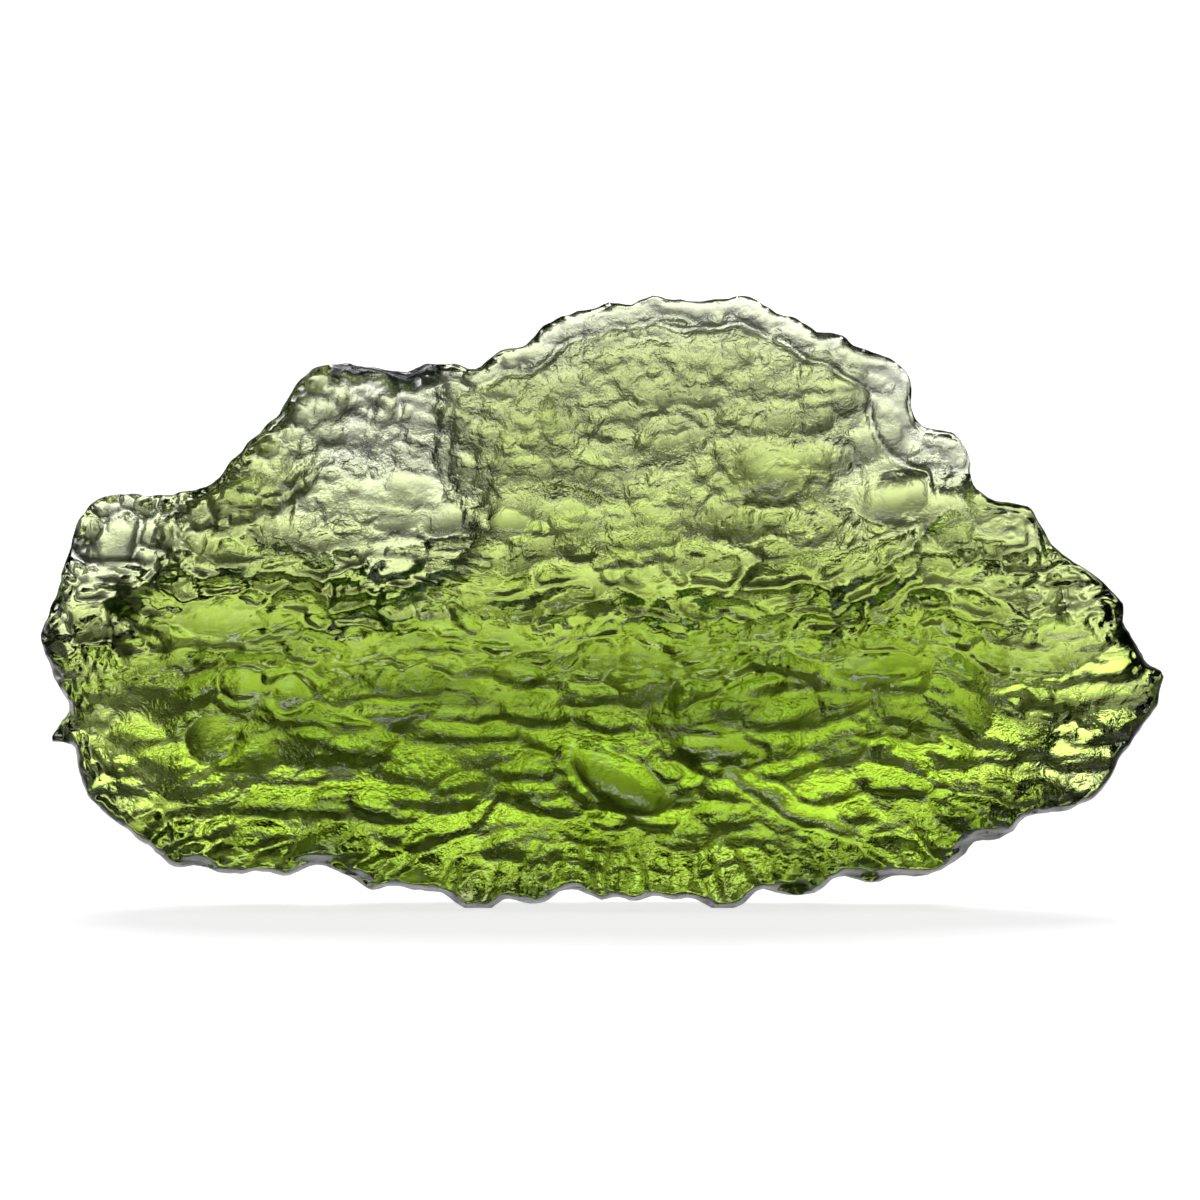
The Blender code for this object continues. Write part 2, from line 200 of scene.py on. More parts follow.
# %% [markdown]
# The front is what people look at, so only its faces are split again: a flake's edge then has
# several faces across it, and the whole stone stays light enough to handle.

# %% Split the faces of the front
FRONT_TURN = -0.25

turned = read(stone.data, "normal", "polygons")[:, 1]
work_on(stone)
bpy.ops.object.mode_set(mode="EDIT")
bpy.ops.mesh.select_mode(type="FACE")
bpy.ops.mesh.select_all(action="DESELECT")
bpy.ops.object.mode_set(mode="OBJECT")
stone.data.polygons.foreach_set("select", turned < FRONT_TURN)
bpy.ops.object.mode_set(mode="EDIT")
bpy.ops.mesh.subdivide(number_cuts=1)
bpy.ops.object.mode_set(mode="OBJECT")
stone.data.calc_loop_triangles()
print("the blank now has", len(stone.data.loop_triangles), "triangles")

# %% [markdown]
# ## Carving the skin
# Etching leaves overlapping petals: each is a small pillow whose upper end dives under its neighbour
# and whose lower edge drops steeply. A displacement texture could only give a plain cell pattern, so
# each petal is stamped one by one, as with a sculpting brush, and where two meet the higher one wins.
# The rows of petals follow flow lines that fan out to both sides and wander up and down a little.

# %% Places in millimetres, and helpers
points = read(stone.data, "co") / MM
facing = read(stone.data, "normal")
X, Y, Z = points.T
inside = np.array([rim_tree.find((x, 0.0, z))[2] for x, z in zip(X, Z)])
draw = random.Random(7)


def ripple(size, seed, x=X, z=Z, y=None):
    """Soft noise between -1 and 1 with bumps of about this size."""
    depth = np.full(x.shape, seed) if y is None else y / size + seed
    return np.array([noise.noise(Vector(p)) for p in zip(x / size, depth, z / size)])


front = smooth_step(0.05, 0.55, -facing[:, 1])
back = smooth_step(0.05, 0.55, facing[:, 1])
WARPED_X = X + 0.35 * ripple(1.7, 3.0) + 0.1 * ripple(0.6, 8.0)
WARPED_Z = Z + 0.22 * ripple(1.7, 31.0) + 0.08 * ripple(0.6, 38.0)
print("carving", len(X), "points")


# %% Stamp petals
FLOW_CENTRE_Z = 10.5
FLOW_FAN = 0.0013
FLOW_WANDER = 1.7
WANDER_LENGTH = 6.0
PETAL_REACH = 1.05


def flow_height(x, level):
    """How high the flow line lies at x that has this height at the stone's middle."""
    wander = FLOW_WANDER * noise.noise(Vector((x / WANDER_LENGTH, level / WANDER_LENGTH, 47.0)))
    return FLOW_CENTRE_Z + (level - FLOW_CENTRE_Z) * (1.0 + FLOW_FAN * x * x) + wander


def flow_tilt(x, level):
    return math.atan(flow_height(x + 0.5, level) - flow_height(x - 0.5, level))


def stamp(skin, x, z, half_length, half_height, tilt, rise, crest=-0.4, edge=1.0):
    """Raises skin to a petal's height; crest says how far up or down the petal its highest line lies."""
    reach = PETAL_REACH * max(half_length, half_height)
    near = np.nonzero((np.abs(WARPED_X - x) < reach) & (np.abs(WARPED_Z - z) < reach))[0]
    dx = WARPED_X[near] - x
    dz = WARPED_Z[near] - z
    along = (dx * math.cos(tilt) + dz * math.sin(tilt)) / half_length
    across = (dz * math.cos(tilt) - dx * math.sin(tilt)) / half_height - crest
    across = across / np.where(across > 0.0, 1.0 - crest, 1.0 + crest)
    height = rise * np.clip(1.0 - along * along - across * across, 0.0, 1.0) ** edge
    skin[near] = np.maximum(skin[near], height)


def rows_of_petals(skin, levels, gaps, halves, rise, strength, crest=-0.4):
    """Stamps jittered rows of petals along the flow, each as strong as strength says at its place."""
    row_gap, petal_gap = gaps
    half_length, half_height = halves
    level = levels[0]
    while level < levels[1]:
        x = -28.0 + draw.uniform(0.0, petal_gap)
        while x < 28.0:
            own_level = level + draw.uniform(-0.45, 0.45) * row_gap
            z = flow_height(x, own_level)
            size = draw.uniform(0.7, 1.35)
            own_rise = rise * draw.uniform(0.65, 1.25) * strength(x, z)
            tilt = flow_tilt(x, own_level) + draw.uniform(-0.22, 0.22)
            tall = half_height * size * draw.uniform(0.8, 1.2)
            if own_rise > 0.02 * rise:
                stamp(skin, x, z, half_length * size, tall, tilt, own_rise, crest)
            x += petal_gap * draw.uniform(0.7, 1.3)
        level += row_gap


def between(low, low_full, high_full, high):
    """A strength that is full in the middle of a height range and fades out at both ends."""
    def strength(x, z):
        return float(smooth_step(low, low_full, z) * (1.0 - smooth_step(high_full, high, z)))
    return strength


# %% [markdown]
# The belly has the largest petals, long ovals two millimetres high. They get smaller and flatter up
# the stone, and the crown has only round blisters with sharp creases between them. A second and a
# third set of smaller petals ride on the large ones. Along the lower margin they give way to flutes,
# short upright ribs that point away from the middle of the stone.

# %% Petals of the front
EVERYWHERE = between(-2.0, -1.0, 40.0, 41.0)

large = np.zeros(len(X))
rows_of_petals(large, (0.5, 15.0), (1.0, 2.9), (1.85, 0.75), 0.92, between(1.5, 3.2, 10.0, 14.5), -0.15)
rows_of_petals(large, (9.0, 21.0), (0.75, 1.9), (1.2, 0.52), 0.62, between(9.5, 12.5, 17.0, 20.5), -0.2)
rows_of_petals(large, (15.0, 29.0), (0.85, 1.0), (0.62, 0.52), 0.3, between(16.0, 19.0, 30.0, 31.0), -0.1)
medium = np.zeros(len(X))
rows_of_petals(medium, (0.0, 29.0), (0.7, 1.3), (0.9, 0.42), 0.28, EVERYWHERE, -0.2)
small = np.zeros(len(X))
rows_of_petals(small, (0.0, 29.0), (0.42, 0.7), (0.45, 0.26), 0.11, EVERYWHERE, -0.1)
print("petals stamped on the front")

# %% Flutes of the lower margin
FLUTE_GAP = 1.15
FAN_POINT_Z = 15.0
FLUTES_TO_X = 22.0

above_edge = Z - np.interp(X, columns, lower_edge)
in_margin = 1.0 - smooth_step(0.6, 2.8, above_edge)
large *= 1.0 - 0.7 * in_margin
medium *= 1.0 - 0.5 * in_margin
flutes = np.zeros(len(X))
x = -FLUTES_TO_X
while x < FLUTES_TO_X:
    edge_z = Z[np.abs(X - x) < 0.4].min()
    tilt = math.atan2(edge_z - FAN_POINT_Z, x * 1.1)
    z = edge_z + draw.uniform(0.0, 0.5)
    half_length = draw.uniform(1.8, 3.4)
    half_width = draw.uniform(0.5, 0.8)
    stamp(flutes, x, z, half_length, half_width, tilt, draw.uniform(0.7, 1.2), 0.0, 0.75)
    x += FLUTE_GAP * draw.uniform(0.7, 1.3)

# %% [markdown]
# Some forms are the stone's own landmarks: the smooth slanting bump low in the middle, two knobs and
# a round disc on the left, the lenses of the pale window under the shoulder, the clear blisters of
# the crown and the long ridges. These are placed one by one, and the petals under them are calmed.

# %% Landmarks of the front
# Each is x, z, half length, half height, tilt in degrees, rise.
LANDMARKS = [
    (0.8, 6.1, 3.5, 1.6, -34.0, 1.2),
    (-16.7, 10.5, 1.2, 1.2, 0.0, 0.6),
    (-14.4, 10.1, 1.2, 1.1, 0.0, 0.55),
    (-17.7, 13.5, 2.5, 1.2, 0.0, 0.5),
    (-18.5, 16.1, 0.8, 0.65, 0.0, 0.5),
    (-18.2, 7.9, 1.7, 1.5, 0.0, 0.4),
    (7.6, 20.3, 2.3, 1.5, 14.0, 0.6),
    (-4.5, 18.0, 1.3, 0.95, 0.0, 0.4),
    (13.9, 19.0, 3.0, 1.8, -6.0, 0.8),
    (13.2, 22.3, 1.6, 1.9, 0.0, 0.45),
    (12.3, 24.5, 1.5, 0.8, 8.0, 0.35),
    (-9.4, 19.4, 2.6, 1.0, 4.0, 0.4),
    (-9.8, 17.8, 1.6, 0.55, 0.0, 0.35),
    (-9.5, 17.0, 1.7, 0.4, 4.0, 0.3),
    (-7.3, 17.9, 1.2, 0.9, 45.0, 0.4),
    (-9.8, 15.9, 1.4, 0.6, 4.0, 0.3),
    (12.8, 11.3, 2.8, 1.0, 4.0, 0.7),
    (5.3, 7.6, 2.7, 0.9, -4.0, 0.8),
    (8.6, 5.0, 4.6, 0.8, -30.0, 0.7),
    (-9.6, 9.3, 3.2, 0.8, 2.0, 0.7),
    (18.8, 17.7, 1.7, 0.8, 8.0, 0.45),
    (-22.7, 17.0, 1.3, 1.0, 0.0, 0.6),
    (-21.3, 17.6, 0.6, 0.65, 0.0, 0.5),
    (-23.0, 15.5, 1.1, 0.42, 0.0, 0.45),
    (-24.1, 14.6, 0.75, 0.5, 15.0, 0.45),
    (-24.1, 13.1, 1.3, 0.85, 20.0, 0.6),
]
# Scarps are the same, but their crest is at the top, so that almost all of each one faces down.
SCARPS = [
    (-17.2, 18.7, 2.4, 1.1, 20.0, 1.2),
    (-14.0, 19.9, 1.6, 0.7, 35.0, 0.8),
    (-20.2, 16.3, 0.9, 1.5, 20.0, 0.7),
    (-25.0, 11.6, 0.8, 1.2, 0.0, 0.6),
    (-21.6, 14.3, 1.2, 0.6, -10.0, 0.5),
    (3.9, 23.2, 1.3, 0.8, 0.0, 0.2),
    (-2.7, 22.6, 0.5, 0.5, 0.0, 0.3),
    (17.6, 16.4, 2.6, 0.6, -24.0, 0.5),
]
# Hollows are the same again, but sunk in.
HOLLOWS = [(0.8, 6.0, 5.5, 3.4, -34.0, 0.5)]
landmarks = np.zeros(len(X))
calm = np.zeros(len(X))
for x, z, half_length, half_height, tilt, rise in LANDMARKS:
    stamp(landmarks, x, z, half_length, half_height, math.radians(tilt), rise, -0.25, 0.8)
    stamp(calm, x, z, half_length, half_height, math.radians(tilt), 1.0, 0.0)
for x, z, half_length, half_height, tilt, rise in SCARPS:
    stamp(landmarks, x, z, half_length, half_height, math.radians(tilt), rise, 0.7)
hollows = np.zeros(len(X))
for x, z, half_length, half_height, tilt, sink in HOLLOWS:
    stamp(hollows, x, z, half_length, half_height, math.radians(tilt), sink, 0.0)
calm = smooth_step(0.0, 0.5, calm)
large *= 1.0 - 0.95 * calm
medium *= 1.0 - 0.85 * calm
small *= 1.0 - 0.6 * calm

# %% [markdown]
# A few long creases run over both sides, as sharp as a knife's cut. Each is a narrow groove along a
# straight line, made crooked by the same warping as the petals.

# %% Long creases
# Each is x and z of one end, then of the other.
CREASES = [
    (18.6, 10.1, 23.3, 8.0),
    (10.7, 8.3, 16.8, 7.4),
    (-20.0, 12.2, -14.5, 11.9),
    (-24.2, 16.0, -20.8, 16.0),
    (-21.8, 18.9, -21.6, 16.4),
    (-25.2, 14.0, -22.4, 14.3),
    (-24.8, 15.2, -22.0, 14.9),
]
CREASE_WIDTH = 0.22
CREASE_DEPTH = 0.5

creases = np.zeros(len(X))
for x1, z1, x2, z2 in CREASES:
    run = math.hypot(x2 - x1, z2 - z1)
    way = ((WARPED_X - x1) * (x2 - x1) + (WARPED_Z - z1) * (z2 - z1)) / run
    off = ((WARPED_Z - z1) * (x2 - x1) - (WARPED_X - x1) * (z2 - z1)) / run
    ends = smooth_step(0.0, 1.0, way) * (1.0 - smooth_step(run - 1.0, run, way))
    creases += CREASE_DEPTH * ends * np.exp(-((off / CREASE_WIDTH) ** 2))

# %% [markdown]
# Along the shoulder and the crown a thin pale flange is set off from the body by a sharp crease. The
# crease is a narrow groove along the rim, nearer to it on the shoulder and farther from it on the
# steps of the right side. Both faces are cut back outside it.

# %% The crown's flange
FLANGE_WIDTH = 1.25
WIDER_ON_STEPS = 0.8
NARROWER_ON_SHOULDER = 0.35
GROOVE_WIDTH = 0.17
GROOVE_DEPTH = 0.55

on_crown = smooth_step(18.5, 20.0, Z) * smooth_step(-13.5, -12.0, X) * (1.0 - smooth_step(18.0, 19.5, X))
flange_edge = FLANGE_WIDTH + WIDER_ON_STEPS * smooth_step(10.0, 13.0, X)
flange_edge -= NARROWER_ON_SHOULDER * (1.0 - smooth_step(-5.0, -3.0, X))
flange_edge += 0.25 * ripple(2.2, 51.0) + 0.08 * ripple(0.7, 55.0)
off_edge = inside - flange_edge
groove = -GROOVE_DEPTH * np.exp(-((off_edge / GROOVE_WIDTH) ** 2)) * on_crown
outwards = np.clip(1.0 - inside / FLANGE_WIDTH, 0.0, 1.0)
cut_back = -(0.28 + 0.25 * outwards) * (1.0 - smooth_step(-0.15, 0.1, off_edge)) * on_crown

# %% [markdown]
# Between and on the petals the skin is crumpled: small round bumps with sharp creases between them.
# The size of a noise, without its sign, gives just that. Its mean is taken off, so that a crumpled
# place doesn't stand out as a whole. It is coarse and deep along the left and right rims and in the
# few places where the stone is torn and dark.

# %% Crumpled skin
# Each is x, z, half length, half height, tilt in degrees and strength.
TORN_PLACES = [
    (-16.6, 18.2, 4.4, 1.3, 22.0, 1.0),
    (-12.2, 15.2, 2.6, 1.6, -30.0, 0.6),
    (-20.8, 15.6, 1.6, 2.2, 0.0, 0.8),
    (-24.3, 12.0, 1.6, 2.6, 0.0, 0.8),
    (-24.0, 7.2, 1.4, 3.0, 20.0, 0.7),
    (-19.8, 3.6, 2.6, 1.2, -30.0, 0.5),
    (4.0, 23.3, 1.6, 1.1, 0.0, 0.4),
    (16.8, 16.6, 3.0, 0.9, -20.0, 0.6),
    (21.0, 15.0, 1.0, 3.4, 40.0, 0.7),
    (20.9, 9.2, 3.2, 0.8, -25.0, 0.7),
    (13.8, 8.0, 3.4, 0.7, -8.0, 0.6),
    (-10.0, 23.3, 3.4, 0.9, 0.0, 0.4),
]


def crumple(size, seed, drawn_out):
    bumps = np.abs(ripple(size, seed, WARPED_X / drawn_out, WARPED_Z))
    return bumps - bumps.mean()


torn = np.zeros(len(X))
for x, z, half_length, half_height, tilt, strength in TORN_PLACES:
    stamp(torn, x, z, half_length, half_height, math.radians(tilt), strength, 0.0)
torn = np.sqrt(torn)
left_rim = (1.0 - smooth_step(0.5, 1.7, inside)) * smooth_step(-6.0, -9.0, X) * smooth_step(7.0, 10.0, Z)
right_rim = (1.0 - smooth_step(0.2, 0.9, inside)) * smooth_step(15.5, 17.0, X) * smooth_step(8.5, 10.0, Z)
torn = np.maximum(torn, np.maximum(left_rim, 0.8 * right_rim * (1.0 - smooth_step(17.5, 19.0, Z))))
middle_zone = smooth_step(8.0, 11.0, Z) * (1.0 - smooth_step(16.0, 20.0, Z))
crown_zone = smooth_step(16.0, 20.0, Z)
fine = (0.1 + 0.2 * middle_zone) * crumple(0.6, 61.0, 1.5)
fine += (0.04 + 0.08 * middle_zone) * crumple(0.34, 64.0, 1.3)
fine += crown_zone * (0.3 * crumple(1.25, 73.0, 0.8) + 0.18 * crumple(0.7, 75.0, 0.8))
medium *= 1.0 - 0.5 * crown_zone
fine *= 1.0 - 0.7 * calm
crust = torn * (1.1 * crumple(1.3, 67.0, 1.2) + 1.1 * crumple(0.62, 69.0, 1.0))
crust += left_rim * 1.2 * crumple(0.8, 83.0, 1.0)

# %% The back's softer petals
back_skin = np.zeros(len(X))
rows_of_petals(back_skin, (0.5, 29.0), (1.3, 3.4), (2.6, 1.1), 0.45, between(0.5, 2.0, 20.0, 32.0))
back_small = np.zeros(len(X))
rows_of_petals(back_small, (0.0, 29.0), (0.8, 1.6), (1.1, 0.5), 0.12, EVERYWHERE)

# %% [markdown]
# The petals only add height, so both faces are first let in by the petals' mean height. The stone
# then keeps the solid's thickness on average. A slow swell on the front leans the skin back above the
# belly, so that it shows more of the light that is low behind the stone. What would stand out past
# the solid's front or back is bent in softly, and a fine ripple roughens the rim.

# %% Move the points
SOFT_LIMIT = 0.8
RIM_RIPPLE = 0.09
# Each is a height above the floor and how far the front stands out more there.
SWELL = [(4.0, 0.0), (13.0, 0.4), (17.0, -0.3), (25.0, -0.2)]

rim_fade = smooth_step(0.0, 0.9 - 0.6 * torn, inside)
front_rise = large + medium + small + fine + crust + landmarks - creases - hollows
front_rise += np.interp(Z, *zip(*SWELL))
inner = inside > 1.0
front_rise -= np.average(front_rise[inner], weights=front[inner])
back_rise = back_skin + back_small + 0.8 * crust
back_rise -= np.average(back_rise[inner], weights=back[inner])
front_move = front_rise * rim_fade + flutes * smooth_step(0.0, 0.4, inside) + groove + cut_back
Y_new = Y - front * front_move + back * (back_rise * rim_fade + cut_back)
rim_ripple = RIM_RIPPLE * ripple(0.55, 71.0) * (1.0 - smooth_step(0.0, 0.5, inside)) * smooth_step(0.3, 0.8, Z)
moved = np.stack([X + facing[:, 0] * rim_ripple, Y_new, Z + facing[:, 2] * rim_ripple], axis=1)
low = np.array(solid_box[0]) / MM
high = np.array(solid_box[1]) / MM
past = np.abs(moved[:, 1]) - (high[1] - SOFT_LIMIT)
soft = high[1] - SOFT_LIMIT + SOFT_LIMIT * np.tanh(past / SOFT_LIMIT)
moved[:, 1] = np.where(past > 0.0, np.sign(moved[:, 1]) * soft, moved[:, 1])
moved = np.clip(moved, low, high)
stone.data.vertices.foreach_set("co", (moved * MM).ravel())
stone.data.update()
stone.data.polygons.foreach_set("use_smooth", np.ones(len(stone.data.polygons), bool))
print("depth before the limits:", round(float(Y_new.min()), 2), "to", round(float(Y_new.max()), 2), "mm")

# %% [markdown]
# ## The glass
# The colour isn't on the surface. It comes from the depth of glass that the light crosses, so the
# surface shader is clear and a volume takes out red and blue. That is why the thin crown is pale
# and the thick belly deep green, with no paint anywhere.

# %% Glass material
GLASS_IOR = 1.49
ABSORPTION_COLOUR = (0.595, 0.715, 0.0, 1.0)
ABSORPTION_DENSITY = 450.0

glass = bpy.data.materials.new("moldavite_glass")
glass.use_nodes = True
nodes, links = glass.node_tree.nodes, glass.node_tree.links
surface = nodes["Principled BSDF"]
surface.inputs["Base Color"].default_value = (1.0, 1.0, 1.0, 1.0)
surface.inputs["Transmission Weight"].default_value = 1.0
surface.inputs["IOR"].default_value = GLASS_IOR
surface.inputs["Roughness"].default_value = 0.1
depth_of_colour = nodes.new("ShaderNodeVolumeAbsorption")
depth_of_colour.inputs["Color"].default_value = ABSORPTION_COLOUR
depth_of_colour.inputs["Density"].default_value = ABSORPTION_DENSITY
links.new(depth_of_colour.outputs["Volume"], nodes["Material Output"].inputs["Volume"])

# %% [markdown]
# The skin isn't equally glossy. Each petal of the belly shines, but the lower margin and the crown are
# finely frosted, which spreads the light and makes them look pale and dull. So the roughness follows
# the height above the floor, with soft patches in it, and the last half millimetre at the rim is
# clearer. The grain of the next step is weaker where the stone is smooth or clear: on the landmarks,
# in the middle band, on the torn skin, at the rims and on the back.

# %% Frost
# Each is a height in millimetres and the roughness there.
FROST = [(0.0, 0.09), (11.0, 0.09), (17.0, 0.18), (23.0, 0.3), (29.0, 0.33)]
MARGIN = (0.5, 2.6)
MARGIN_FROST = 0.25
CLEAR_RIM = 0.6

frost = np.interp(Z, *zip(*FROST)) * (1.0 + 0.35 * ripple(1.6, 91.0))
frost = np.maximum(frost, MARGIN_FROST * (1.0 - smooth_step(MARGIN[0], MARGIN[1], above_edge)))
frost *= 0.25 + 0.75 * smooth_step(0.0, CLEAR_RIM, inside)
clear_band = smooth_step(9.5, 11.5, Z) * (1.0 - smooth_step(15.0, 17.0, Z))
grain = (0.15 + 0.85 * front) * (1.0 - 0.6 * calm) * (1.0 - 0.65 * clear_band)
grain *= (0.25 + 0.75 * smooth_step(0.0, 1.2, inside)) * (1.0 - 0.6 * torn)
for name, values in (("frost", frost), ("grain", grain)):
    stone.data.attributes.new(name, "FLOAT", "POINT").data.foreach_set("value", values)
frosted = nodes.new("ShaderNodeAttribute")
frosted.attribute_name = "frost"
links.new(frosted.outputs["Fac"], surface.inputs["Roughness"])
place = nodes.new("ShaderNodeTexCoord")

# %% [markdown]
# The finest grain, round pits of a fifth of a millimetre, is too small for the net of faces. It is a
# bump made by a noise.

# %% Fine grain
PIT_SCALE = 4200.0
GRAIN_DEPTH = 0.00016

pits = nodes.new("ShaderNodeTexNoise")
pits.inputs["Scale"].default_value = PIT_SCALE
pits.inputs["Detail"].default_value = 2.0
pits.inputs["Roughness"].default_value = 0.6
links.new(place.outputs["Object"], pits.inputs["Vector"])
grain_bump = nodes.new("ShaderNodeBump")
grain_share = nodes.new("ShaderNodeAttribute")
grain_share.attribute_name = "grain"
links.new(grain_share.outputs["Fac"], grain_bump.inputs["Strength"])
grain_bump.inputs["Distance"].default_value = GRAIN_DEPTH
links.new(pits.outputs["Fac"], grain_bump.inputs["Height"])
links.new(grain_bump.outputs["Normal"], surface.inputs["Normal"])
stone.data.materials.clear()
stone.data.materials.append(glass)

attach(stone, "root")
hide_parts("moldavite")

# %% [markdown]
# ## Floor, light and camera
# Glass shows what lies behind it, bent by each slope of its skin: a slope that faces up shows what is
# low behind the stone, and one that faces down shows what is above. The light behind is therefore
# strongest low down and fades upwards, which makes each petal bright on top and dark below. The white
# floor is there for the camera and catches the shadow, but lets this light through from below.

# %% Floor
SEEN_GLOW = 0.68


def wire_fade(tree, source, low, high, at_low, at_high):
    """A value that changes smoothly from at_low to at_high while the source goes from low to high."""
    node = tree.nodes.new("ShaderNodeMapRange")
    node.interpolation_type = "SMOOTHSTEP"
    for name, value in {"From Min": low, "From Max": high, "To Min": at_low, "To Max": at_high}.items():
        node.inputs[name].default_value = value
    tree.links.new(source, node.inputs["Value"])
    return node.outputs["Result"]


def wire_math(tree, operation, first, second):
    node = tree.nodes.new("ShaderNodeMath")
    node.operation = operation
    tree.links.new(first, node.inputs[0])
    if isinstance(second, float):
        node.inputs[1].default_value = second
    else:
        tree.links.new(second, node.inputs[1])
    return node.outputs["Value"]


bpy.ops.object.select_all(action="DESELECT")
bpy.ops.mesh.primitive_plane_add(size=4.0, location=(0.0, 0.0, 0.0))
floor = bpy.context.active_object
floor.name = "floor"
floor_white = bpy.data.materials.new("floor_white")
floor_white.use_nodes = True
tree = floor_white.node_tree
paint = tree.nodes["Principled BSDF"]
paint.inputs["Base Color"].default_value = (0.85, 0.85, 0.85, 1.0)
paint.inputs["Roughness"].default_value = 0.6
paint.inputs["Emission Color"].default_value = (1.0, 1.0, 1.0, 1.0)
paint.inputs["Emission Strength"].default_value = SEEN_GLOW
open_floor = tree.nodes.new("ShaderNodeBsdfTransparent")
path = tree.nodes.new("ShaderNodeLightPath")
choice = tree.nodes.new("ShaderNodeMixShader")
tree.links.new(path.outputs["Is Camera Ray"], choice.inputs["Fac"])
tree.links.new(open_floor.outputs["BSDF"], choice.inputs[1])
tree.links.new(paint.outputs["BSDF"], choice.inputs[2])
tree.links.new(choice.outputs["Shader"], tree.nodes["Material Output"].inputs["Surface"])
floor.data.materials.append(floor_white)

# %% [markdown]
# A glowing card stands on the floor close behind the stone. It adds a soft light to what is seen
# through the lower margin, and fades out upwards, later at both ends than in the middle. Other light
# passes through the card, and the camera doesn't see it.

# %% Hidden card
CARD_Y = 0.009
CARD_WIDTH = 0.06
CARD_HEIGHT = 0.016
CARD_GLOW = 1.9
CARD_FADE = (0.0005, 0.0042)
CARD_CURVE = 6.0
CARD_MIDDLE = -0.003

bpy.ops.object.select_all(action="DESELECT")
middle = (0.0, CARD_Y, CARD_HEIGHT / 2.0)
bpy.ops.mesh.primitive_plane_add(size=1.0, location=middle, rotation=(math.pi / 2.0, 0.0, 0.0))
card = bpy.context.active_object
card.name = "card"
card.scale = (CARD_WIDTH, CARD_HEIGHT, 1.0)
bpy.ops.object.transform_apply(location=True, rotation=True, scale=True)
card_glow = bpy.data.materials.new("card_glow")
card_glow.use_nodes = True
tree = card_glow.node_tree
tree.nodes.remove(tree.nodes["Principled BSDF"])
place = tree.nodes.new("ShaderNodeTexCoord")
split = tree.nodes.new("ShaderNodeSeparateXYZ")
tree.links.new(place.outputs["Object"], split.inputs["Vector"])
glow = tree.nodes.new("ShaderNodeEmission")
off_middle = wire_math(tree, "SUBTRACT", split.outputs["X"], CARD_MIDDLE)
sideways = wire_math(tree, "MULTIPLY", off_middle, off_middle)
curved = wire_math(tree, "SUBTRACT", split.outputs["Z"], wire_math(tree, "MULTIPLY", sideways, CARD_CURVE))
tree.links.new(wire_fade(tree, curved, *CARD_FADE, CARD_GLOW, 0.0), glow.inputs["Strength"])
through = tree.nodes.new("ShaderNodeBsdfTransparent")
both = tree.nodes.new("ShaderNodeAddShader")
tree.links.new(glow.outputs["Emission"], both.inputs[0])
tree.links.new(through.outputs["BSDF"], both.inputs[1])
tree.links.new(both.outputs["Shader"], tree.nodes["Material Output"].inputs["Surface"])
card.data.materials.append(card_glow)
card.visible_camera = False
card.visible_diffuse = False
card.visible_glossy = False
card.visible_shadow = False

# %% [markdown]
# The stone's lower edge would mirror the bright light from low behind. A real white table is in the
# stone's own shadow there, so a grey strip lies under the stone. Only mirrored light meets it.

# %% Grey strip under the stone
STRIP_WIDTH = 0.06
STRIP_DEPTH = 0.028
STRIP_Y = 0.011
STRIP_LIFT = 0.00001
STRIP_GLOW = 0.5

bpy.ops.object.select_all(action="DESELECT")
bpy.ops.mesh.primitive_plane_add(size=1.0, location=(0.0, STRIP_Y, STRIP_LIFT))
strip = bpy.context.active_object
strip.name = "strip"
strip.scale = (STRIP_WIDTH, STRIP_DEPTH, 1.0)
bpy.ops.object.transform_apply(location=True, rotation=True, scale=True)
strip_grey = bpy.data.materials.new("strip_grey")
strip_grey.use_nodes = True
paint = strip_grey.node_tree.nodes["Principled BSDF"]
paint.inputs["Base Color"].default_value = (0.02, 0.02, 0.02, 1.0)
paint.inputs["Roughness"].default_value = 0.9
paint.inputs["Emission Color"].default_value = (1.0, 1.0, 1.0, 1.0)
paint.inputs["Emission Strength"].default_value = STRIP_GLOW
strip.data.materials.append(strip_grey)
strip.visible_camera = False
strip.visible_diffuse = False
strip.visible_transmission = False
strip.visible_shadow = False

# %% [markdown]
# The world is bright in three places: the screen behind the stone, whose brightness follows the
# height and falls off at both ends, a strip low in front, which glints on the grain of the flanks,
# and a patch overhead. The camera itself sees plain white.

# %% Light
# Each is the sine of the angle above the horizon and the screen's brightness there.
SCREEN = [
    (-1.0, 0.0), (-0.64, 0.05), (-0.48, 1.75), (-0.3, 1.3),
    (-0.15, 0.8), (-0.02, 0.45), (0.12, 0.24), (0.45, 0.03),
]
# The ends fade between two sideways places each, down to these shares.
SCREEN_ENDS = (-0.62, -0.24, 0.17, 0.46)
LEFT_SHARE = 0.15
RIGHT_SHARE = 0.12
OVERHEAD_GLOW = 1.2
OVERHEAD_FROM = 0.4
OVERHEAD_FULL = 0.6
DARK_GLOW = 0.03
GLINT_GLOW = 5.5
GLINT_FRONT = (-0.55, -0.7)
GLINT_TOP = (-0.3, -0.4)
GLINT_FOOT = (-0.66, -0.6)
BACKDROP_GLOW = 1.05

